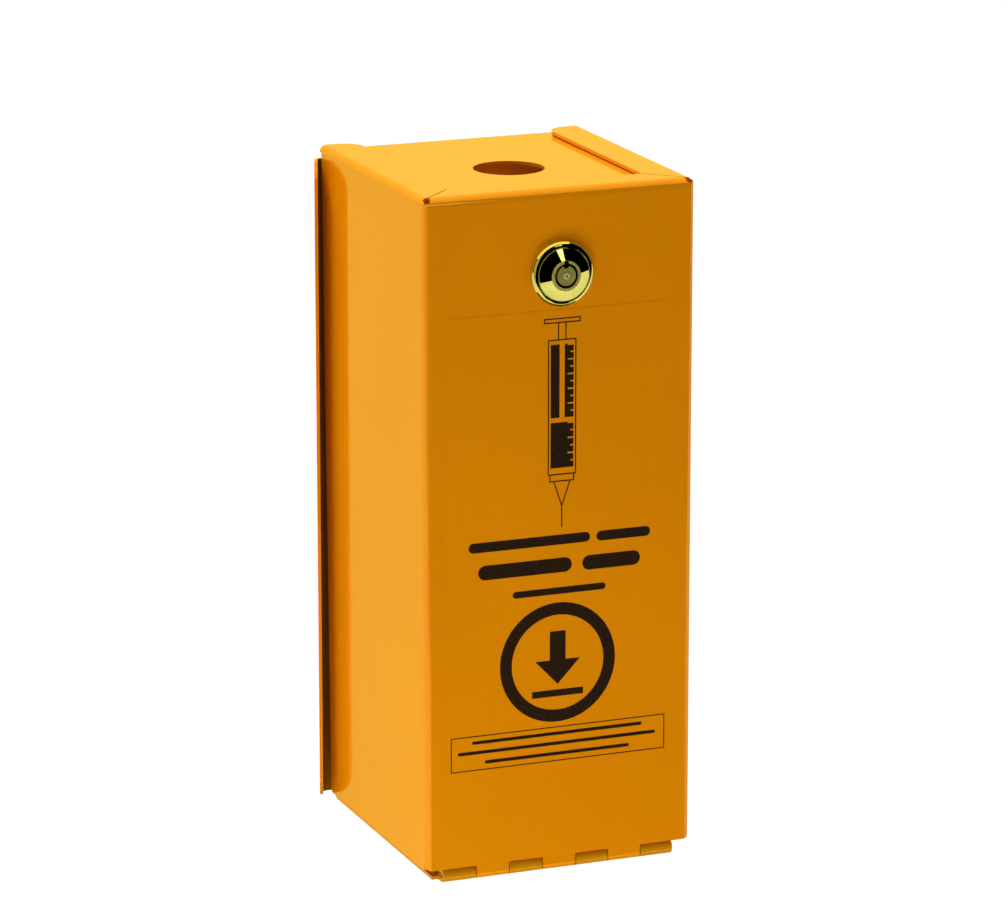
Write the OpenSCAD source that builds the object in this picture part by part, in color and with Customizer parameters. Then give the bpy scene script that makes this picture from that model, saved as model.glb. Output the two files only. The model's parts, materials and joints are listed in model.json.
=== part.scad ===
// Lockable wall cabinet for a sharps liner: a folded steel chassis, a folded steel
// cover hinged along the bottom front edge, a tubular key cam lock and a plastic liner.
// Origin: middle of the four wall screw holes, on the back face. The front faces -Y.
// Heights below are counted from the bottom edge of the cover; place() moves them
// to the origin.

/* [Cabinet] */
// Width of the cover, outside
cover_w = 125; // [115:1:140]
// Depth from the wall to the outside of the front panel
cover_d = 131; // [126:1:150]
// Height of the cover, outside
cover_h = 298.5; // [290:0.5:340]
// Width of the strips folded in along the top of the cover
strip_w = 17.5; // [15:0.5:19]
// Rounding of the free inner corners of the side strips
strip_corner_r = 10; // [6:1:14]
// Diameter of the drop hole in the top
drop_hole_d = 31.4; // [26:0.2:33]

/* [Sheet] */
// Thickness of the folded steel sheet
sheet_t = 1.5; // [1.2:0.1:1.6]
// Outside radius of the folds
fold_r = 3; // [2.6:0.2:4]
// Outside radius of the fold along the top of the front panel
front_fold_r = 4.2; // [3:0.1:5]

/* [Ears] */
// Angle by which the ears lean outwards from straight ahead
ear_lean = 20; // [0:1:30]
// How far the tips of the ears stand in front of the wall
ear_reach = 16.5; // [12:0.5:18]
// Rounding of the ends of the ears
ear_corner_r = 12.8; // [6:0.1:13]

/* [Wall screws] */
// Diameter of the wall screw holes
wall_hole_d = 6.5; // [5:0.5:8]
// Distance between the holes across the back
wall_hole_x = 80; // [60:2:90]
// Distance between the holes up the back
wall_hole_z = 220; // [180:5:230]

/* [Hinge] */
// Number of knuckles, cabinet and cover together
knuckle_count = 7; // [5:2:9]
// Length of the whole row of knuckles
hinge_length = 109; // [90:1:112]
// Outside radius of a knuckle
knuckle_r = 3.1; // [2.5:0.1:3.2]
// Diameter of the hinge pin
pin_d = 2.6; // [2:0.1:2.8]

/* [Lock] */
// Height of the lock above the bottom edge of the cover
lock_z = 262; // [257:1:263]
// Diameter of the rosette
rosette_d = 29; // [28:0.5:32]
// Reach of the cam from the lock's axis
cam_reach = 27; // [24:0.5:28]

/* [Liner] */
// Width of the liner tub
tub_w = 104; // [90:1:108]
// Depth of the liner tub
tub_d = 96; // [86:1:96]
// Height of the liner tub
tub_h = 229; // [200:1:232]
// Wall thickness of the liner
tub_wall = 1.8; // [1.4:0.1:2.4]

/* [Hidden] */

$fn = 64;
eps = 0.01;
lap = 0.05;
far = 900;
coat = [0.98, 0.68, 0.05];
brass = [0.85, 0.68, 0.25];
steel = [0.72, 0.73, 0.75];
fold_in_r = fold_r - sheet_t;

// The middle of the wall holes is the origin
wall_hole_mid_z = 150;

// Chassis plates
top_gap = 0.6;
top_z = cover_h - sheet_t - top_gap;
top_under_z = top_z - sheet_t;
top_w = cover_w - 2 * sheet_t - 1.6;
top_front_y = -(cover_d - 4);
bottom_w = 114;
bottom_z = -2 * knuckle_r;
bottom_over_z = bottom_z + sheet_t;
fold_leg = 20;
drop_y = -(cover_d - 59.5);
tub_y = -cover_d / 2;

// Ears
ear_fold_x = 62.1;
ear_bottom_z = -2;
ear_top_z = top_z - 4.2;

// Cover
cover_back_y = -(sheet_t + 1);
side_back_high_y = -4.5;
side_back_low_y = -10.5;
cover_edge_z = 0.3;
mitre_slit = 0.6;
relief_r = 1.6;

// Hinge
hinge_y = -(cover_d - knuckle_r);
hinge_z = -knuckle_r;
knuckle_pitch = hinge_length / knuckle_count;
knuckle_gap = 0.5;
pin_recess = 0.6;
chassis_seam = 20;
cover_seam = 70;
seam_w = 0.4;
knuckle_bore_r = pin_d / 2 + 0.05;
notch_y = hinge_y + knuckle_r + 1.1;

// Keeper and liner stop, both bent from strip
strap_t = 1.5;
rivet_r = 1.5;
rivet_head_r = 2.8;
rivet_head_h = 0.45;
rivet_tail_r = 2.2;
keeper_w = 34;
keeper_drop = 15.5;
keeper_foot = 12;
keeper_rivet_in = 7;
keeper_y = -(cover_d - 17.1);
stop_w = 70;
stop_h = 14;
stop_foot = 9;
stop_rivet_in = 5;
stop_y = tub_y - tub_d / 2 - 1;

// Drop chute
chute_r = 19;
chute_wall = 1.5;
chute_flange_r = 24;
chute_drop = 16;

// Liner lid
tub_corner_r = 14;
lid_grip = 2;
lid_skirt = 10;
neck_r = 23;
neck_wall = 2;
neck_bead = 1.2;
neck_flare = 10;
rib_proud = 0.8;
rib_h = 4;
neck_top_z = top_under_z - chute_drop - 1.7;
tub_z = bottom_over_z;
lid_z = tub_z + tub_h;

// Label
label_t = 0.12;
label_half_w = 53;
label_low_z = 35.3;
label_high_z = 246;
label_corner_r = 4;

// Lock: depths count backwards from the outside of the front panel
barrel_r = 9.5;
barrel_flange_r = 11.3;
barrel_flange_h = 1.2;
barrel_end = 17.5;
nose_r = 6.5;
nose_h = 7;
keyway_out_r = 5.4;
keyway_in_r = 4.3;
keyway_depth = 6;
notch_w = 2.2;
rotor_r = 8;
rotor_end = 11;
spindle_r = 3.4;
boss_r = 1.35;
dimple_r = 0.6;
collar_hole_r = 0.8;
screw_hole_r = 1.7;
run_gap = 0.05;
lock_pin_count = 8;
lock_pin_r = 0.5;
lock_pin_pitch_r = (keyway_out_r + keyway_in_r) / 2;
square_w = 5;
cam_front = barrel_end + 0.8;
cam_t = 2;
cam_w = 12;
cam_washer_t = 0.8;
cam_washer_r = 6;
washer_t = 0.8;
washer_r = 13;
nut_t = 4.5;
nut_flats = 24;
rosette_hole_r = nose_r + 0.1;

// ---------------------------------------------------------------- helpers

module place() {
    translate([0, 0, -wall_hole_mid_z]) children();
}

// Draws a profile of (y, z) and runs it along X over a width centred on x
module along_x(x, w) {
    translate([x - w / 2, 0, 0])
        rotate([90, 0, 90])
            linear_extrude(w) children();
}

// Draws a profile of (x, z) and runs it along Y from y0 to y1
module along_y(y0, y1) {
    translate([0, y1, 0])
        rotate([90, 0, 0])
            linear_extrude(y1 - y0) children();
}

// A rectangle with rounded corners
module round_rect(x0, y0, x1, y1, r) {
    translate([x0 + r, y0]) square([x1 - x0 - 2 * r, y1 - y0]);
    translate([x0, y0 + r]) square([x1 - x0, y1 - y0 - 2 * r]);
    for (x = [x0 + r, x1 - r], y = [y0 + r, y1 - r])
        translate([x, y]) circle(r);
}

// What a round of radius r cuts off the corner at (x, y), which points along (sx, sy)
module corner_cut(x, y, sx, sy, r) {
    difference() {
        translate([x - (sx > 0 ? r : 1), y - (sy > 0 ? r : 1)]) square(r + 1);
        translate([x - sx * r, y - sy * r]) circle(r);
    }
}

// Turns a part drawn along +Z into the lock's place, with z as depth behind the panel
module at_lock() {
    translate([0, -cover_d, lock_z])
        rotate([-90, 0, 0]) children();
}

// A round bar along Z from z0 to z1
module disc(r, z0, z1) {
    translate([0, 0, z0]) cylinder(r = r, h = z1 - z0);
}

// A rivet through the sheets, with its head at head_z and its set end at tail_z
module rivet(x, y, head_z, tail_z) {
    up = sign(head_z - tail_z);
    translate([x, y, min(head_z, tail_z)]) cylinder(r = rivet_r, h = abs(head_z - tail_z));
    translate([x, y, up > 0 ? head_z : head_z - rivet_head_h])
        cylinder(r = rivet_head_r, h = rivet_head_h);
    translate([x, y, up > 0 ? tail_z - rivet_head_h : tail_z])
        cylinder(r = rivet_tail_r, h = rivet_head_h);
}

// ---------------------------------------------------------------- hinge

function knuckle_x(i) = -hinge_length / 2 + (i + 0.5) * knuckle_pitch;

// The rolled tube of one knuckle. The seam lies where the roll meets its own sheet,
// at seam degrees round the pin from straight back.
module knuckle_roll(i, seam) {
    along_x(knuckle_x(i), knuckle_pitch - knuckle_gap)
        translate([hinge_y, hinge_z])
            difference() {
                circle(knuckle_r);
                circle(knuckle_bore_r);
                rotate(seam) translate([0, -seam_w / 2]) square([knuckle_r + 1, seam_w]);
            }
}

module chassis_knuckle(i) {
    knuckle_roll(i, chassis_seam);
    translate([knuckle_x(i) - (knuckle_pitch - knuckle_gap) / 2, hinge_y, bottom_z])
        difference() {
            cube([knuckle_pitch - knuckle_gap, notch_y - hinge_y + eps, sheet_t]);
            translate([-1, 0, knuckle_r])
                rotate([0, 90, 0]) cylinder(r = knuckle_bore_r, h = far);
        }
}

module cover_knuckle(i) {
    knuckle_roll(i, cover_seam);
    translate([knuckle_x(i) - (knuckle_pitch - knuckle_gap) / 2, -cover_d, hinge_z])
        cube([knuckle_pitch - knuckle_gap, sheet_t, knuckle_r + cover_edge_z + 1]);
}

module hinge_pin() {
    color(steel)
        place()
            translate([-hinge_length / 2 + pin_recess, hinge_y, hinge_z])
                rotate([0, 90, 0]) cylinder(d = pin_d, h = hinge_length - 2 * pin_recess);
}

// ---------------------------------------------------------------- chassis

// One ear before it is trimmed to its reach: the sheet turns forwards round its fold
// and runs on straight
module ear_plan() {
    turn = 90 - ear_lean;
    untrimmed = 40;
    translate([ear_fold_x, -fold_r]) {
        intersection() {
            difference() {
                circle(fold_r);
                circle(fold_in_r);
            }
            polygon([[-lap, 0], [-lap, 9], [9 * sin(turn / 2), 9 * cos(turn / 2)],
                     [9 * sin(turn), 9 * cos(turn)]]);
        }
        rotate(-turn) translate([-lap, fold_in_r]) square([untrimmed, sheet_t]);
    }
}

// Both ears and the back plate between them
module ears() {
    intersection() {
        for (side = [0, 1])
            mirror([side, 0, 0]) translate([0, 0, -far / 2]) linear_extrude(far) {
                ear_plan();
                translate([0, -sheet_t]) square([ear_fold_x, sheet_t]);
            }
        along_x(0, far)
            difference() {
                translate([-ear_reach, ear_bottom_z])
                    square([ear_reach, ear_top_z - ear_bottom_z]);
                corner_cut(-ear_reach, ear_top_z, -1, 1, ear_corner_r);
                corner_cut(-ear_reach, ear_bottom_z, -1, -1, ear_corner_r);
            }
    }
}

// The profile of a plate from front_y to the back, folded into the back plate at fold_z.
// up is 1 for the top plate and -1 for the bottom plate.
module fold_profile(front_y, z0, z1, fold_z, up) {
    difference() {
        translate([front_y, z0]) square([-front_y, z1 - z0]);
        corner_cut(0, fold_z, 1, up, fold_r);
        difference() {
            translate([front_y - 1, up > 0 ? z0 - 1 : z0 + sheet_t])
                square([-front_y + 1 - sheet_t, z1 - z0 - sheet_t + 1]);
            corner_cut(-sheet_t, fold_z - up * sheet_t, 1, up, fold_in_r);
        }
    }
}

// The drop hole, the wall screw holes and the holes for the rivets
module chassis_holes() {
    translate([0, drop_y, top_under_z - 1]) cylinder(d = drop_hole_d, h = far);
    for (x = [-1, 1] * wall_hole_x / 2, z = [-1, 1] * wall_hole_z / 2)
        translate([x, 1, wall_hole_mid_z + z])
            rotate([90, 0, 0]) cylinder(d = wall_hole_d, h = sheet_t + 2);
    for (x = [-1, 1] * keeper_w / 3)
        translate([x, keeper_y - keeper_rivet_in, top_under_z - 3]) cylinder(r = rivet_r, h = 7);
    for (x = [-1, 1] * stop_w / 3)
        translate([x, stop_y - stop_rivet_in, bottom_z - 1]) cylinder(r = rivet_r, h = 5);
}

module chassis_sheet() {
    color(coat)
        place()
            difference() {
                union() {
                    along_x(0, top_w) fold_profile(top_front_y, top_z - fold_leg, top_z, top_z, 1);
                    along_x(0, bottom_w)
                        fold_profile(notch_y, bottom_z, bottom_z + fold_leg, bottom_z, -1);
                    translate([-bottom_w / 2, -sheet_t, bottom_z + fold_leg - 5])
                        cube([bottom_w, sheet_t, top_z - bottom_z - 2 * (fold_leg - 5)]);
                    ears();
                    for (i = [0 : 2 : knuckle_count - 1]) chassis_knuckle(i);
                }
                chassis_holes();
            }
}

module drop_chute() {
    color(coat)
        place()
            translate([0, drop_y, top_under_z])
                mirror([0, 0, 1])
                    difference() {
                        union() {
                            cylinder(r = chute_r, h = chute_drop);
                            cylinder(r = chute_flange_r, h = chute_wall);
                        }
                        translate([0, 0, -1]) cylinder(r = chute_r - chute_wall, h = far);
                    }
}

// A strip bent once at a right angle, as a profile of (y, z): the upright leg stands
// on z = 0 with its back at y = 0, and the flat leg runs forwards
module angle_profile(flat, upright) {
    difference() {
        translate([-flat, 0]) square([flat, upright]);
        corner_cut(0, 0, 1, -1, fold_r - 0.5);
        difference() {
            translate([-flat - 1, strap_t]) square([flat + 1 - strap_t, upright]);
            corner_cut(-strap_t, strap_t, 1, -1, 1);
        }
    }
}

module cam_keeper() {
    color(steel)
        place()
            difference() {
                translate([0, keeper_y, top_under_z])
                    mirror([0, 0, 1])
                        along_x(0, keeper_w) angle_profile(keeper_foot, keeper_drop);
                chassis_holes();
            }
}

module keeper_rivets() {
    color(steel)
        place()
            for (x = [-1, 1] * keeper_w / 3)
                rivet(x, keeper_y - keeper_rivet_in, top_z, top_under_z - strap_t);
}

module liner_stop() {
    color(coat)
        place()
            difference() {
                translate([0, stop_y, bottom_over_z])
                    along_x(0, stop_w) angle_profile(stop_foot, stop_h);
                chassis_holes();
            }
}

module stop_rivets() {
    color(steel)
        place()
            for (x = [-1, 1] * stop_w / 3)
                rivet(x, stop_y - stop_rivet_in, bottom_z, bottom_over_z + strap_t);
}

// ---------------------------------------------------------------- liner

// The liner's plan, grown outwards by g
module liner_plan(g) {
    round_rect(-tub_w / 2 - g, tub_y - tub_d / 2 - g, tub_w / 2 + g, tub_y + tub_d / 2 + g,
               tub_corner_r + g);
}

module liner_tub() {
    rib_zs = [60, 110, 160];
    color([1, 0.82, 0.1])
        place()
            difference() {
                union() {
                    translate([0, 0, tub_z]) linear_extrude(tub_h) liner_plan(-rib_proud);
                    for (z = rib_zs)
                        translate([0, 0, tub_z + z]) linear_extrude(rib_h) liner_plan(0);
                    translate([0, 0, lid_z - lid_skirt - 3]) linear_extrude(2.5) liner_plan(0);
                }
                translate([0, 0, tub_z + tub_wall])
                    linear_extrude(far) liner_plan(-tub_wall - rib_proud);
            }
}

module liner_lid() {
    color([0.93, 0.93, 0.9])
        place()
            difference() {
                union() {
                    translate([0, 0, lid_z - lid_skirt])
                        linear_extrude(lid_skirt + lid_grip) liner_plan(lid_grip - rib_proud);
                    translate([0, drop_y, lid_z + lid_grip - eps])
                        cylinder(r1 = neck_r + neck_flare, r2 = neck_r, h = 8);
                    translate([0, drop_y, lid_z])
                        cylinder(r = neck_r, h = neck_top_z - lid_z);
                    translate([0, drop_y, neck_top_z - 3]) cylinder(r = neck_r + neck_bead, h = 3);
                }
                translate([0, 0, lid_z - far]) linear_extrude(far) liner_plan(-0.7);
                translate([0, drop_y, lid_z - 1]) cylinder(r = neck_r - neck_wall, h = far);
            }
}

// ---------------------------------------------------------------- cover

// The outside of the cover, moved in by g, as a solid block with round folds
module cover_block(g) {
    r = fold_r - g;
    front_r = front_fold_r - g;
    x = cover_w / 2 - g;
    y = -cover_d + g;
    z = cover_h - g;
    intersection() {
        translate([0, 0, -far / 2]) linear_extrude(far)
            difference() {
                translate([-x, y]) square([2 * x, far]);
                corner_cut(-x, y, -1, -1, r);
                corner_cut(x, y, 1, -1, r);
            }
        along_x(0, far)
            difference() {
                translate([y, -far / 2]) square([far, z + far / 2]);
                corner_cut(y, z, -1, 1, front_r);
            }
        along_y(-far, far)
            difference() {
                translate([-x, -far / 2]) square([2 * x, z + far / 2]);
                corner_cut(-x, z, -1, 1, r);
                corner_cut(x, z, 1, 1, r);
            }
    }
}

// The opening between the top strips, with the strips' free corners rounded
module strip_window() {
    half = cover_w / 2 - strip_w;
    translate([-half, -cover_d + strip_w]) square([2 * half, far]);
    for (s = [-1, 1])
        corner_cut(s * half, cover_back_y, -s, 1, strip_corner_r);
}

// The slits between the top strips and the front fold, with a round relief at each corner
module mitre_slits() {
    for (s = [-1, 1]) {
        translate([s * cover_w / 2, -cover_d, cover_h - sheet_t - 0.5])
            rotate(s > 0 ? 135 : 45)
                translate([1, -mitre_slit / 2, 0]) cube([strip_w * 1.42, mitre_slit, 9]);
        translate([s * (cover_w / 2 - 2.2), -cover_d + 2.2, cover_h - fold_r - 0.6])
            cylinder(r = relief_r, h = 9);
    }
}

// What is trimmed off behind the side panels, whose rear edge slopes forwards downwards
module side_back_cut() {
    low_corner_r = 2;
    polygon([[side_back_high_y, cover_h - fold_r], [side_back_low_y, cover_edge_z],
             [0, cover_edge_z - 9], [0, cover_h - fold_r]]);
    corner_cut(side_back_low_y, cover_edge_z, 1, -1, low_corner_r);
}

module cover_sheet() {
    bottom_corner_r = 3;
    color(coat)
        place()
            union() {
                difference() {
                    cover_block(0);
                    cover_block(sheet_t);
                    translate([-far / 2, cover_back_y, -far]) cube([far, far, 2 * far]);
                    translate([-far / 2, -far / 2, cover_edge_z - far]) cube([far, far, far]);
                    along_x(0, far) side_back_cut();
                    translate([0, 0, cover_h - 5]) linear_extrude(9) strip_window();
                    along_y(-cover_d - 1, -cover_d + sheet_t + 1)
                        for (s = [-1, 1])
                            corner_cut(s * cover_w / 2, cover_edge_z, s, -1, bottom_corner_r);
                    mitre_slits();
                    at_lock() disc(barrel_r + 0.15, -1, sheet_t + 1);
                }
                for (i = [1 : 2 : knuckle_count - 1]) cover_knuckle(i);
            }
}

module label_film() {
    color([0.98, 0.72, 0.1])
        place()
            along_y(-cover_d - label_t, -cover_d)
                round_rect(-label_half_w, label_low_z, label_half_w, label_high_z,
                           label_corner_r);
}

// ---------------------------------------------------------------- lock

// Half of the rosette's section, as (radius, height above the panel): a rounded rim, a
// fine groove and a cone that rises to the nose of the lock
module rosette_section() {
    roll_r = 2.6;
    roll_low = 1.3;
    cone_r = 11.4;
    cone_low = 4.1;
    cone_high = 6.3;
    crest = rosette_d / 2 - roll_r;
    difference() {
        union() {
            translate([crest, roll_low]) circle(roll_r);
            translate([rosette_hole_r, 0]) square([crest - rosette_hole_r, roll_low + roll_r]);
            polygon([[rosette_hole_r, 0], [cone_r, 0], [cone_r, cone_low],
                     [rosette_hole_r, cone_high]]);
        }
        translate([cone_r + 0.3, cone_low - 0.1]) circle(0.3);
        translate([-1, -1]) square([barrel_flange_r + 1.1, barrel_flange_h + 1.05]);
        translate([0, -9]) square([far, 9]);
    }
}

module lock_rosette() {
    color(brass)
        place()
            at_lock()
                mirror([0, 0, 1]) rotate_extrude($fn = 96) rosette_section();
}

// The ring of round rods, for the lock pins or for their holes, from depth z0 to z1.
// There is none at the notch.
module pin_ring(r, z0, z1) {
    for (i = [1 : lock_pin_count - 1])
        rotate(-90 + i * 360 / lock_pin_count)
            translate([lock_pin_pitch_r, 0, z0]) cylinder(r = r, h = z1 - z0, $fn = 24);
}

module lock_housing() {
    color(brass)
        place()
            at_lock()
                difference() {
                    union() {
                        disc(nose_r, -nose_h, 0);
                        disc(barrel_flange_r, -barrel_flange_h, 0);
                        disc(barrel_r, -eps, barrel_end);
                    }
                    disc(keyway_out_r, -nose_h - 1, keyway_depth + eps);
                    disc(rotor_r + run_gap, keyway_depth, barrel_end + 1);
                    translate([-notch_w / 2, -nose_r - 1, -nose_h - 1])
                        cube([notch_w, nose_r + 1 - keyway_out_r + 1, 3]);
                    translate([barrel_r + 1, 0, (rotor_end + barrel_end) / 2])
                        rotate([0, -90, 0]) cylinder(r = collar_hole_r, h = 4, $fn = 24);
                }
}

module lock_collar() {
    color(brass)
        place()
            at_lock()
                difference() {
                    disc(rotor_r + run_gap, rotor_end + 0.1, barrel_end);
                    disc(spindle_r + run_gap, 0, far);
                    pin_ring(lock_pin_r + 0.05, 0, barrel_end - 1);
                    translate([barrel_r + 1, 0, (rotor_end + barrel_end) / 2])
                        rotate([0, -90, 0]) cylinder(r = collar_hole_r, h = 4, $fn = 24);
                }
}

module collar_pin() {
    color(steel)
        place()
            at_lock()
                translate([barrel_r - 0.05, 0, (rotor_end + barrel_end) / 2])
                    rotate([0, -90, 0]) cylinder(r = collar_hole_r - 0.02, h = 2.9, $fn = 24);
}

module driver_pins() {
    color(brass) place() at_lock() pin_ring(lock_pin_r, rotor_end + 0.15, rotor_end + 2.6);
}

module pin_springs() {
    color(steel)
        place()
            at_lock()
                difference() {
                    pin_ring(lock_pin_r, rotor_end + 2.6, barrel_end - 1);
                    pin_ring(lock_pin_r - 0.2, rotor_end + 2, barrel_end);
                }
}

module lock_washer() {
    color(steel)
        place()
            at_lock()
                difference() {
                    disc(washer_r, sheet_t, sheet_t + washer_t);
                    disc(barrel_r + 0.1, 0, 9);
                }
}

module lock_nut() {
    z0 = sheet_t + washer_t;
    color(steel)
        place()
            at_lock()
                difference() {
                    intersection() {
                        translate([0, 0, z0])
                            cylinder(r = nut_flats / sqrt(3), h = nut_t, $fn = 6);
                        translate([0, 0, z0 - 1.5])
                            cylinder(r1 = nut_flats / 2 + 4.3, r2 = nut_flats / 2 + 0.2,
                                     h = nut_t + 1.5);
                    }
                    disc(barrel_r + 0.1, 0, 9);
                }
}

// The turning spindle: centre post, pin flange, shaft and square tail
module lock_plug() {
    post_top = -nose_h + 0.3;
    color(brass)
        place()
            at_lock()
                difference() {
                    union() {
                        disc(keyway_in_r, post_top, keyway_depth + 0.5);
                        disc(boss_r, post_top - 0.5, post_top + eps);
                        disc(rotor_r, keyway_depth + 0.05, rotor_end);
                        disc(spindle_r, rotor_end - eps, barrel_end + 0.6);
                        translate([-square_w / 2, -square_w / 2, barrel_end])
                            cube([square_w, square_w, cam_front + cam_t - barrel_end - 0.1]);
                    }
                    disc(dimple_r, post_top - 2, post_top + 0.8);
                    translate([-notch_w / 2, -keyway_in_r - 1, post_top - 1])
                        cube([notch_w, 2, 3]);
                    pin_ring(lock_pin_r + 0.05, keyway_depth - 1, rotor_end + 1);
                    disc(screw_hole_r, barrel_end - 3, far);
                }
}

module key_pins() {
    color(steel) place() at_lock() pin_ring(lock_pin_r, keyway_depth - 0.3, rotor_end - 0.05);
}

module lock_cam() {
    color(steel)
        place()
            at_lock()
                translate([0, 0, cam_front])
                    mirror([1, 0, 0]) linear_extrude(cam_t)
                        difference() {
                            union() {
                                circle(cam_w / 2 + 1);
                                translate([0, -cam_w / 2])
                                    square([cam_reach - 2, cam_w]);
                                translate([cam_reach - 3, -cam_w / 2 + 2])
                                    square([3, cam_w - 4]);
                                for (s = [-1, 1])
                                    translate([cam_reach - 2, s * (cam_w / 2 - 2)]) circle(2);
                            }
                            square(square_w + 0.1, center = true);
                        }
}

module cam_washer() {
    z0 = cam_front + cam_t;
    color(steel)
        place()
            at_lock()
                difference() {
                    disc(cam_washer_r, z0, z0 + cam_washer_t);
                    disc(screw_hole_r + 0.05, 0, far);
                }
}

module cam_screw() {
    z0 = cam_front + cam_t + cam_washer_t;
    slot_w = 0.9;
    color(steel)
        place()
            at_lock()
                difference() {
                    union() {
                        disc(screw_hole_r - 0.05, barrel_end - 2, z0 + eps);
                        translate([0, 0, z0]) cylinder(r1 = 3.6, r2 = 3.1, h = 2.2);
                    }
                    for (a = [0, 90])
                        rotate(a)
                            translate([-2.2, -slot_w / 2, z0 + 1.1]) cube([4.4, slot_w, 2]);
                }
}

chassis_sheet();
drop_chute();
cam_keeper();
keeper_rivets();
liner_stop();
stop_rivets();
hinge_pin();
liner_tub();
liner_lid();
cover_sheet();
label_film();
lock_rosette();
lock_housing();
lock_collar();
collar_pin();
driver_pins();
pin_springs();
lock_washer();
lock_nut();
lock_plug();
key_pins();
lock_cam();
cam_washer();
cam_screw();
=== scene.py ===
import json
import math

import bmesh
import bpy
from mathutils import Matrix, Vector


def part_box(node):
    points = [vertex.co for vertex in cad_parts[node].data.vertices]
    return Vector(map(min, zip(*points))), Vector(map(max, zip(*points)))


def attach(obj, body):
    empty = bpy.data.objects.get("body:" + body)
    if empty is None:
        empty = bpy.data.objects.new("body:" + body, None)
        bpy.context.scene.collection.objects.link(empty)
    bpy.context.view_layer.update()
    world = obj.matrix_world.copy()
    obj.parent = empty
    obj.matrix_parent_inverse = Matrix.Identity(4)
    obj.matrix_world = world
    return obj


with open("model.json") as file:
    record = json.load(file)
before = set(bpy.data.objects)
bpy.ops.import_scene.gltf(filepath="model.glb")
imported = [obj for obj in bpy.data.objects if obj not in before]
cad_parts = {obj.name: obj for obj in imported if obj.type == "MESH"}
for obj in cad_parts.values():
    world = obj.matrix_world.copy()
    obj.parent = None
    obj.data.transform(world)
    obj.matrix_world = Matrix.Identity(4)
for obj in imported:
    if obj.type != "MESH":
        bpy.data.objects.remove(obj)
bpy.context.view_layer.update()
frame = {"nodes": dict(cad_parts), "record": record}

MM = 0.001

# ---------------------------------------------------------------- places from the frame

COVER_LOW, COVER_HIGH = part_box("cover_sheet")
PLUG_LOW, PLUG_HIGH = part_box("lock_plug")
FILM_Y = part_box("label_film")[0].y
NOSE_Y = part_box("lock_housing")[0].y
EARS_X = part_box("chassis_sheet")[1].x
LOCK_Z = (PLUG_LOW.z + PLUG_HIGH.z) / 2
COVER_HEIGHT = 298.5 * MM
BOTTOM_Z = COVER_HIGH.z - COVER_HEIGHT

# ---------------------------------------------------------------- camera

CAMERA_AZIMUTH = -21.735
CAMERA_ELEVATION = 14.785
CAMERA_DISTANCE = 2.3137
CAMERA_TARGET = Vector((0.0013, -0.060, 0.0049))
CAMERA_LENS = 186.15
CAMERA_SHIFT = (0.0022, 0.0268)


def view_vector(azimuth, elevation):
    """The direction from the object towards a viewer at these angles in degrees."""
    a, e = math.radians(azimuth), math.radians(elevation)
    return Vector((math.sin(a) * math.cos(e), -math.cos(a) * math.cos(e), math.sin(e)))


def add_camera():
    data = bpy.data.cameras.new("camera")
    data.lens = CAMERA_LENS
    data.sensor_width = 36
    data.shift_x, data.shift_y = CAMERA_SHIFT
    data.clip_end = 50
    camera = bpy.data.objects.new("camera", data)
    bpy.context.scene.collection.objects.link(camera)
    back = view_vector(CAMERA_AZIMUTH, CAMERA_ELEVATION)
    camera.location = CAMERA_TARGET + back * CAMERA_DISTANCE
    camera.rotation_euler = back.to_track_quat("Z", "Y").to_euler()
    bpy.context.scene.camera = camera


# ---------------------------------------------------------------- material helpers


class Shader:
    """A small builder for one material's node tree."""

    def __init__(self, name):
        self.material = bpy.data.materials.new(name)
        self.material.use_nodes = True
        self.tree = self.material.node_tree
        self.bsdf = self.tree.nodes["Principled BSDF"]
        self.place = self.node("ShaderNodeTexCoord").outputs["Object"]

    def node(self, kind, **inputs):
        """A new node; an input's name has _ for each space."""
        made = self.tree.nodes.new(kind)
        for name, value in inputs.items():
            self.put(made.inputs[name.replace("_", " ")], value)
        return made

    def put(self, socket, value):
        """Link another node's output into the socket, or set it to a constant."""
        if isinstance(value, bpy.types.NodeSocket):
            self.tree.links.new(value, socket)
        else:
            socket.default_value = value

    def set(self, **inputs):
        """Put values into the Principled node."""
        for name, value in inputs.items():
            self.put(self.bsdf.inputs[name.replace("_", " ")], value)

    def noise(self, scale, detail):
        made = self.node("ShaderNodeTexNoise", Vector=self.place, Scale=scale, Detail=detail)
        return made.outputs["Fac"]

    def ramp(self, value, low, high, out_low=0.0, out_high=1.0):
        """The value from low to high, clamped and spread over out_low to out_high."""
        made = self.node("ShaderNodeMapRange", Value=value, From_Min=low, From_Max=high,
                         To_Min=out_low, To_Max=out_high)
        return made.outputs["Result"]

    def mix(self, factor, a, b):
        made = self.tree.nodes.new("ShaderNodeMix")
        made.data_type = "RGBA"
        self.put(made.inputs["Factor"], factor)
        self.put(made.inputs["A"], a)
        self.put(made.inputs["B"], b)
        return made.outputs["Result"]

    def math(self, operation, a, b=0.0):
        made = self.tree.nodes.new("ShaderNodeMath")
        made.operation = operation
        self.put(made.inputs[0], a)
        self.put(made.inputs[1], b)
        return made.outputs[0]

    def bump(self, height, distance, strength):
        made = self.node("ShaderNodeBump", Height=height, Distance=distance, Strength=strength)
        return made.outputs["Normal"]


def rgb(red, green, blue):
    """An sRGB colour out of 255 as the linear colour that a shader takes."""
    def linear(c):
        c /= 255
        return c / 12.92 if c <= 0.04045 else ((c + 0.055) / 1.055) ** 2.4
    return (linear(red), linear(green), linear(blue), 1.0)


# ---------------------------------------------------------------- materials

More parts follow.
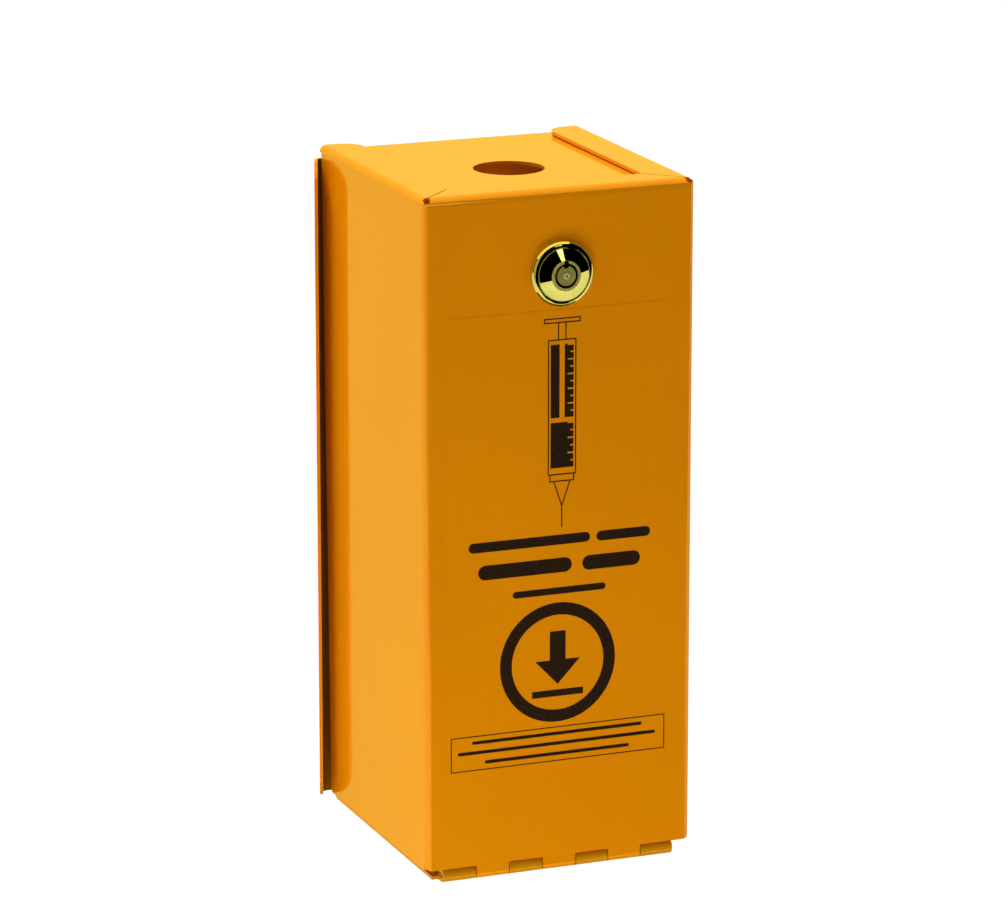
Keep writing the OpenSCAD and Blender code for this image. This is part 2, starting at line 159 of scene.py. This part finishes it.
COAT = (0.90, 0.305, 0.001, 1.0)
COAT_DEEP = (0.86, 0.285, 0.0008, 1.0)
# painted shade on the rolled knuckles
KNUCKLE_SHADE = (0.68, 0.27, 0.002, 1.0)
# painted shade at the bottom of the gap between the cover and the ears
GAP_SHADE = (0.23, 0.085, 0.001, 1.0)
# paler, brighter brass on the small boss in the middle of the lock
BOSS_BRASS = (1.0, 0.93, 0.45, 1.0)
# painted shade deep in the keyway of the lock
KEYWAY_SHADE = (0.006, 0.005, 0.001, 1.0)


def paint_gap_and_knuckle_shade(s, colour):
    """Painted shade: darkens the coat at the bottom of the gap between the cover and the ears,
    and on the rolled knuckles, where shade falls."""
    split = s.node("ShaderNodeSeparateXYZ", Vector=s.place)
    normal = s.node("ShaderNodeNewGeometry").outputs["Normal"]
    facing = s.node("ShaderNodeSeparateXYZ", Vector=normal)
    x = s.math("ABSOLUTE", split.outputs["X"])
    gap_x = COVER_HIGH.x - 4 * MM
    gap_low_y, gap_high_y = -14 * MM, -9 * MM
    root = s.math("MULTIPLY", s.ramp(x, gap_x - 1 * MM, gap_x),
                  s.ramp(x, COVER_HIGH.x, EARS_X - 2 * MM, 1.0, 0.0))
    behind = s.ramp(split.outputs["Y"], gap_low_y, gap_high_y)
    front = s.ramp(facing.outputs["Y"], -0.3, 0.0, 1.0, 0.0)
    # painted shade at the bottom of the gap between the cover and the ears
    gap_shade_mask = s.math("MULTIPLY", s.math("MULTIPLY", root, behind), front)
    knuckle_y = COVER_LOW.y + 9 * MM
    low = s.ramp(split.outputs["Z"], BOTTOM_Z - 0.5 * MM, BOTTOM_Z + 0.5 * MM, 1.0, 0.0)
    ahead = s.ramp(split.outputs["Y"], knuckle_y, knuckle_y + 1 * MM, 1.0, 0.0)
    # painted shade on the knuckles below the cover's bottom edge
    knuckle_shade_mask = s.math("MULTIPLY", low, ahead)
    return s.mix(gap_shade_mask, s.mix(knuckle_shade_mask, colour, KNUCKLE_SHADE), GAP_SHADE)


def powder_coat(name, rough=0.06, with_painted_shade=False):
    """Gloss powder coat: faint orange peel and a slightly deeper colour in places."""
    s = Shader(name)
    cloud = s.noise(9, 2)
    peel = s.noise(420, 2)
    fine = s.noise(2600, 3)
    height = s.math("ADD", peel, s.math("MULTIPLY", fine, 0.25))
    shade = s.mix(s.ramp(cloud, 0.3, 0.7), COAT, COAT_DEEP)
    # with painted shade, the coat is darkened in the ear gap and on the knuckles
    s.set(Base_Color=paint_gap_and_knuckle_shade(s, shade) if with_painted_shade else shade, Metallic=0.2,
          Roughness=s.ramp(s.noise(55, 4), 0.3, 0.7, rough, rough + 0.05),
          Normal=s.bump(height, 0.02 * MM, 0.25), IOR=1.33)
    return s.material


def metal(name, colour, dark, rough_low, rough_high, metallic):
    """Bare or plated steel with faint clouds and a fine grain."""
    s = Shader(name)
    grains = s.noise(900, 2)
    s.set(Base_Color=s.mix(s.ramp(s.noise(60, 3), 0.3, 0.7), colour, dark), Metallic=metallic,
          Roughness=s.ramp(grains, 0.3, 0.7, rough_low, rough_high),
          Normal=s.bump(grains, 0.004 * MM, 0.3))
    return s.material


def plastic(name, colour, deep, rough):
    """Moulded plastic with a fine texture that lets a little light in."""
    s = Shader(name)
    s.set(Base_Color=s.mix(s.ramp(s.noise(30, 3), 0.3, 0.7), colour, deep),
          Roughness=s.ramp(s.noise(300, 4), 0.3, 0.7, rough, rough + 0.12),
          Normal=s.bump(s.noise(2500, 2), 0.03 * MM, 0.4),
          Subsurface_Weight=0.15, Subsurface_Scale=4 * MM)
    return s.material


def printed(name, colour, worn):
    """Matt screen ink that lets a little of the film's colour through in specks."""
    s = Shader(name)
    s.set(Base_Color=s.mix(s.ramp(s.noise(900, 4), 0.45, 0.75), colour, worn),
          Roughness=s.ramp(s.noise(400, 3), 0.3, 0.7, 0.45, 0.6), Specular_IOR_Level=0.1,
          Normal=s.bump(s.noise(3000, 2), 0.01 * MM, 0.3))
    return s.material


def lock_metal(name, colour, dark, turned_r):
    """Polished brass. Inside a radius it is duller turned brass, with painted shade near black
    deep in the keyway, and paler brass on the small boss in the middle."""
    s = Shader(name)
    away = s.node("ShaderNodeVectorMath", Vector=s.place)
    away.operation = "SUBTRACT"
    away.inputs[1].default_value = (0, 0, LOCK_Z)
    split = s.node("ShaderNodeSeparateXYZ", Vector=away.outputs[0])
    squares = [s.math("MULTIPLY", split.outputs[axis], split.outputs[axis]) for axis in "XZ"]
    radius = s.math("SQRT", s.math("ADD", *squares))
    turned = s.ramp(radius, turned_r, turned_r + 0.1 * MM, 1.0, 0.0)
    boss = s.ramp(radius, 1.3 * MM, 1.5 * MM, 1.0, 0.0)
    deep = s.ramp(split.outputs["Y"], NOSE_Y + 0.5 * MM, NOSE_Y + 1.6 * MM)
    stains = s.ramp(s.noise(150, 2), 0.3, 0.7)
    # paler brass on the small boss in the middle
    shade = s.mix(boss, s.mix(stains, colour, dark), BOSS_BRASS)
    # painted shade: near black deep in the keyway
    shade = s.mix(s.math("MULTIPLY", turned, deep), shade, KEYWAY_SHADE)
    s.set(Base_Color=shade, Metallic=s.ramp(turned, 0.0, 1.0, 1.0, 0.55),
          Roughness=s.math("ADD", s.ramp(s.noise(700, 2), 0.3, 0.7, 0.02, 0.06),
                           s.math("MULTIPLY", turned, 0.22)),
          Normal=s.bump(s.noise(1200, 2), 0.001 * MM, 0.5))
    return s.material


MATERIALS = {
    # the chassis coat carries painted shade in the ear gap and on the knuckles
    "chassis_coat": powder_coat("chassis_coat", with_painted_shade=True),
    "cover_coat": powder_coat("cover_coat"),
    "label_film": powder_coat("label_film", rough=0.045),
    "label_ink": printed("label_ink", rgb(36, 20, 2), rgb(50, 30, 3)),
    "lock_brass": lock_metal("lock_brass", (0.78, 0.70, 0.17, 1), (0.62, 0.57, 0.12, 1),
                             6.6 * MM),
    "lock_inner_brass": lock_metal("lock_inner_brass", (0.58, 0.54, 0.12, 1),
                                   (0.46, 0.43, 0.08, 1), 5.0 * MM),
    "zinc_steel": metal("zinc_steel", rgb(206, 208, 212), rgb(186, 189, 195), 0.32, 0.42, 0.7),
    "spring_steel": metal("spring_steel", rgb(150, 150, 155), rgb(120, 120, 126), 0.3, 0.4, 0.9),
    "liner_yellow": plastic("liner_yellow", rgb(245, 200, 20), rgb(238, 190, 10), 0.3),
    "liner_white": plastic("liner_white", rgb(236, 236, 230), rgb(226, 226, 220), 0.35),
}

for part in frame["record"]["subparts"]:
    node = frame["nodes"][part["node"]]
    node.data.materials.clear()
    node.data.materials.append(MATERIALS[part["material_slot"]])

# ---------------------------------------------------------------- print on the label

INK_DEPTH = 0.04  # these and the print's measures below are in mm
STROKE = 0.55


def rect(x0, z0, x1, z1):
    """One rectangular face. Every shape of print is a list of faces."""
    return [[(x0, z0), (x1, z0), (x1, z1), (x0, z1)]]


def band(outer, inner):
    """The faces between two closed outlines with the same number of points."""
    n = len(outer)
    return [[outer[i], outer[(i + 1) % n], inner[(i + 1) % n], inner[i]] for i in range(n)]


def outline(x0, z0, x1, z1, stroke=STROKE):
    """A rectangular frame, drawn inside these corners."""
    return band(rect(x0, z0, x1, z1)[0],
                rect(x0 + stroke, z0 + stroke, x1 - stroke, z1 - stroke)[0])


def ring(x, z, outer_r, inner_r, steps=72):
    def circle(r):
        turns = [2 * math.pi * i / steps for i in range(steps)]
        return [(x + r * math.cos(t), z + r * math.sin(t)) for t in turns]
    return band(circle(outer_r), circle(inner_r))


def pill(x0, z0, x1, z1, steps=10):
    """A bar with round ends."""
    r = (z1 - z0) / 2
    points = []
    for x, turn in ((x1 - r, -0.5), (x0 + r, 0.5)):
        for i in range(steps + 1):
            t = math.pi * (turn + i / steps)
            points.append((x + r * math.cos(t), z0 + r + r * math.sin(t)))
    return [points]


def line(x0, z0, x1, z1):
    """A straight stroke."""
    along = Vector((x1 - x0, z1 - z0)).normalized() * STROKE / 2
    side = Vector((-along.y, along.x))
    return [[(x0 - side.x, z0 - side.y), (x1 - side.x, z1 - side.y),
             (x1 + side.x, z1 + side.y), (x0 + side.x, z0 + side.y)]]


def ink(name, faces):
    """Thin raised ink on the film; faces are (x, z) in mm, z from the cover's bottom edge."""
    bm = bmesh.new()
    for face in faces:
        bm.faces.new([bm.verts.new((x * MM, FILM_Y, BOTTOM_Z + z * MM)) for x, z in face])
    bmesh.ops.remove_doubles(bm, verts=bm.verts[:], dist=0.002 * MM)
    grown = bmesh.ops.extrude_face_region(bm, geom=bm.faces[:])
    moved = [v for v in grown["geom"] if isinstance(v, bmesh.types.BMVert)]
    bmesh.ops.translate(bm, verts=moved, vec=(0, -INK_DEPTH * MM, 0))
    bmesh.ops.recalc_face_normals(bm, faces=bm.faces[:])
    mesh = bpy.data.meshes.new(name)
    bm.to_mesh(mesh)
    bm.free()
    piece = bpy.data.objects.new(name, mesh)
    bpy.context.scene.collection.objects.link(piece)
    mesh.materials.append(MATERIALS["label_ink"])
    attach(piece, "cover")


def scale_block(x0, x1, low, high):
    """A dark block with a notch at every step of its right side, each second one deeper."""
    step, notch_h, shallow, deep = 3.4, 0.7, 1.5, 2.7
    count = round((high - low) / step)
    pitch = (high - low) / count
    points = [(x0, high), (x0, low)]
    for i in range(count):
        notch_x = x1 - (deep if i % 2 else shallow)
        top = low + (i + 1) * pitch
        points += [(x1, top - pitch), (x1, top - notch_h), (notch_x, top - notch_h), (notch_x, top)]
    points[-1] = (points[-1][0], high - 0.01)
    return points


def syringe_picture(x):
    """An outline of a plain syringe: handle, rod, barrel with a dark scale, nozzle, needle."""
    tip_z, needle_z, hub_z, barrel_z = 149.5, 159.2, 170, 173
    rod_z, handle_z, top_z = 233, 240.1, 242.4
    handle, rod, barrel, hub, nozzle = 8.5, 1.7, 6.6, 5.8, 3.7
    faces = outline(x - handle, handle_z, x + handle, top_z)
    faces += outline(x - barrel, barrel_z, x + barrel, rod_z)
    faces += outline(x - hub, hub_z, x + hub, barrel_z + STROKE)
    for side in (-1, 1):
        faces += line(x + side * rod, rod_z, x + side * rod, handle_z)
        faces += line(x + side * nozzle, hub_z, x, needle_z)
    faces += line(x, tip_z, x, needle_z)
    upper, lower, scale_x = (198.4, 230.8), (176.2, 196.3), 5.3
    faces += rect(x - scale_x, upper[0], x - 1.2, upper[1])
    faces += rect(x - scale_x, lower[0], x + 2.4, lower[1])
    faces += [scale_block(x + 1.2, x + scale_x, *upper), scale_block(x + 2.3, x + scale_x, *lower)]
    return faces


def emblem(x, z):
    """A ring round an arrow that points down at a bar."""
    outer_r, inner_r, shaft, head, bar = 27, 21.5, 3.7, 10.5, 12
    top_z, head_z, tip_z, bar_z, bar_h = z + 14.1, z + 1.1, z - 9.9, z - 15.4, 3
    arrow = [(x - shaft, top_z), (x - shaft, head_z), (x - head, head_z), (x, tip_z),
             (x + head, head_z), (x + shaft, head_z), (x + shaft, top_z)]
    return ring(x, z, outer_r, inner_r) + [arrow] + rect(x - bar, bar_z, x + bar, bar_z + bar_h)


ink("print_syringe", syringe_picture(0.8))
ink("print_bars", pill(-42.4, 141.9, 14.1, 146.3) + pill(17.1, 141.7, 42.4, 146.1)
    + pill(-38, 129.4, 5.6, 135.9) + pill(10.5, 129.2, 37.7, 135.7)
    + pill(-22, 119.7, 21.5, 122.7))
ink("print_emblem", emblem(-0.9, 88.9))
ink("print_panel", outline(-50.8, 43.9, 49.9, 59.7, 0.45) + pill(-40.9, 55.8, 39, 57.3)
    + pill(-47.6, 51.3, 45.5, 52.8) + pill(-35, 46.6, 33, 48.1))

# ---------------------------------------------------------------- stage and light

FLOOR_Z = COVER_LOW.z - 0.42
ABOVE_FLOOR = 0.005
FLAG_Y = -0.95
FLAG_Z = -0.3
BACK_CARD_Y = 1.0
BLACK = (0, 0, 0, 1)
WARM = (1.0, 0.93, 0.4, 1)
YELLOW = (1.0, 1.0, 0.22, 1)


def add_sheet(name, corners, colour, roughness, glow=0.0, seen=True, faces=((0, 1, 2, 3),)):
    """A sheet of the studio; one that is not seen only shows in reflections."""
    mesh = bpy.data.meshes.new(name)
    mesh.from_pydata(corners, [], faces)
    sheet = bpy.data.objects.new(name, mesh)
    bpy.context.scene.collection.objects.link(sheet)
    s = Shader(name)
    s.set(Base_Color=colour if glow == 0 else BLACK, Roughness=roughness,
          Specular_IOR_Level=0.0, Emission_Color=colour, Emission_Strength=glow)
    mesh.materials.append(s.material)
    sheet.visible_camera = seen
    sheet.visible_diffuse = seen
    sheet.visible_shadow = seen
    return sheet


def level(x0, y0, x1, y1, z):
    """The corners of a level rectangle."""
    return [(x0, y0, z), (x1, y0, z), (x1, y1, z), (x0, y1, z)]


def add_floor():
    """A plain pale floor that reaches past the backdrop."""
    half = 12.5
    add_sheet("floor", level(-half, -half, half, half, FLOOR_Z), (0.8, 0.8, 0.8, 1), 0.9)


def add_backdrop():
    """A far white wall all round, for looks from low down; it lights and mirrors nothing."""
    radius, top, steps = 12.0, 10.0, 64
    turns = [2 * math.pi * i / steps for i in range(steps)]
    ring_points = [(radius * math.cos(t), radius * math.sin(t)) for t in turns]
    corners = [(x, y, z) for z in (FLOOR_Z, top) for x, y in ring_points]
    faces = [(i, (i + 1) % steps, steps + (i + 1) % steps, steps + i) for i in range(steps)]
    wall = add_sheet("backdrop", corners, (1, 1, 1, 1), 1.0, 1.05, faces=faces)
    wall.visible_diffuse = False
    wall.visible_glossy = False
    wall.visible_shadow = False


def add_card(name, x0, x1, y, z0, z1, colour=BLACK, glow=0.0):
    """An upright card that only shows in reflections, black unless it glows."""
    add_sheet(name, [(x0, y, z0), (x1, y, z0), (x1, y, z1), (x0, y, z1)], colour, 1.0, glow,
              seen=False)


def add_ground_shade():
    """A dark sheet that the camera doesn't see. It takes light from the object's underside,
    as when an object stands on its floor."""
    sheet = add_sheet("ground_shade", level(-0.55, -0.43, 0.55, 0.6, FLOOR_Z + ABOVE_FLOOR),
                      (0.08, 0.05, 0.02, 1), 1.0, seen=False)
    sheet.visible_diffuse = True


def add_area(name, size, place, aim, energy, reflected=True):
    """A white softbox that is never seen itself, and seen in reflections only if asked."""
    data = bpy.data.lights.new(name, "AREA")
    data.shape = "RECTANGLE"
    data.size, data.size_y = size
    data.energy = energy
    light = bpy.data.objects.new(name, data)
    bpy.context.scene.collection.objects.link(light)
    light.location = place
    light.rotation_euler = (Vector(place) - Vector(aim)).to_track_quat("Z", "Y").to_euler()
    light.visible_glossy = reflected
    light.visible_camera = False


def add_sun(name, towards, strength, angle):
    """A sun that stands in the direction `towards`, with an apparent width in degrees."""
    data = bpy.data.lights.new(name, "SUN")
    data.energy = strength
    data.angle = math.radians(angle)
    light = bpy.data.objects.new(name, data)
    bpy.context.scene.collection.objects.link(light)
    light.rotation_euler = Vector(towards).to_track_quat("Z", "Y").to_euler()


def add_world(strength):
    """An even white sky."""
    world = bpy.data.worlds.new("studio")
    world.use_nodes = True
    background = world.node_tree.nodes["Background"]
    background.inputs["Color"].default_value = (1, 1, 1, 1)
    background.inputs["Strength"].default_value = strength
    bpy.context.scene.world = world


add_camera()
add_floor()
add_backdrop()

# the front panel and the upper half of the lock reflect black
add_card("flag", -0.5, 5.0, FLAG_Y, FLAG_Z, 3.2)
add_card("flag_low", 0.0, 0.7, FLAG_Y, FLOOR_Z, FLAG_Z)
add_sheet("flag_foot", level(0.13, FLAG_Y, 0.5, -0.62, FLOOR_Z + ABOVE_FLOOR), BLACK, 1.0,
          seen=False)

# the side, the top and the folds reflect warm yellow
add_card("left_card", -2.4, -0.5, FLAG_Y, FLAG_Z, 1.4, WARM, 0.5)
add_card("back_card", -3.0, 3.0, BACK_CARD_Y, FLOOR_Z, 2.5, YELLOW, 0.95)
add_sheet("top_card", level(-1.6, -0.9, 0.8, 0.7, 1.2), WARM, 1.0, 1.3, seen=False)
add_ground_shade()

# even light from above, more of it low down, and the bright streak in the upper half of the lock
add_world(0.15)
add_sun("overhead", (-0.25, 0.3, 1.0), 4.0, 50)
add_area("low_softbox", (0.4, 0.3), (-0.2, -0.5, -0.44), (0, -0.13, -0.12), 1.8, reflected=False)
add_area("left_low_softbox", (0.4, 0.4), (-0.6, 0.0, -0.45), (-0.06, -0.06, -0.1), 0.7,
         reflected=False)
add_area("slit", (0.2, 0.16), (0.21, -0.93, 0.645), (0, -0.138, LOCK_Z), 0.25)
bpy.context.scene.view_settings.view_transform = "Standard"
